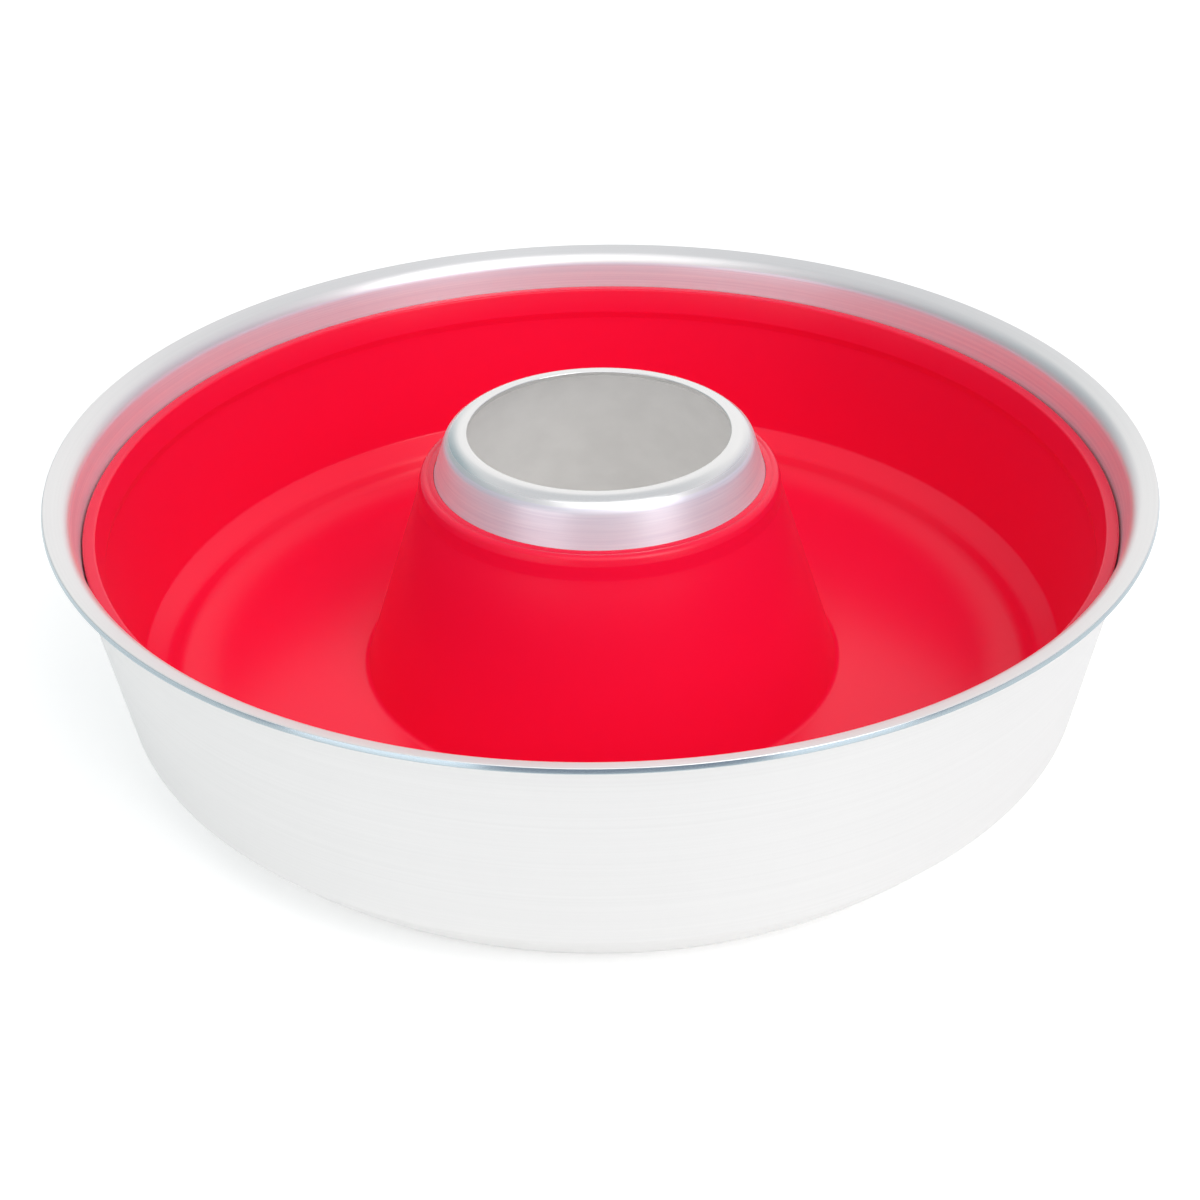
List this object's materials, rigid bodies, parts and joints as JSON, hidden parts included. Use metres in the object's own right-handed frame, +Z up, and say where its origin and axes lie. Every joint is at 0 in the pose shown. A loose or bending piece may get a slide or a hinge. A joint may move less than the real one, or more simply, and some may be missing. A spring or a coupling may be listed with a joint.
{
  "type": "silicone ring mould in an aluminium ring pan",
  "caption": "Red silicone ring mould seated in a spun aluminium ring pan, sleeved over its conical open chimney; the mould lifts straight out for turning out a cake or frozen dessert.",
  "frame": {"origin": "centre of the base ring's underside, on the chimney's axis", "axes": "+Z up along the chimney's axis; the parts are round, so X and Y are any level pair, with the pictured front facing -Y"},
  "size_m": [0.2502, 0.2502, 0.0692],
  "materials": {
    "spun_aluminium": "satin, finely brushed around the axis",
    "red_silicone": "semi-matte"
  },
  "bodies": {
    "pan": {"aluminium_ring_pan": "spun_aluminium"},
    "mould": {"silicone_ring_mould": "red_silicone"}
  },
  "joints": [
    {"name": "mould_lift", "type": "slide", "parent": "pan", "child": "mould", "axis": [0, 0, 1], "range_m": [0, 0.08]}
  ]
}
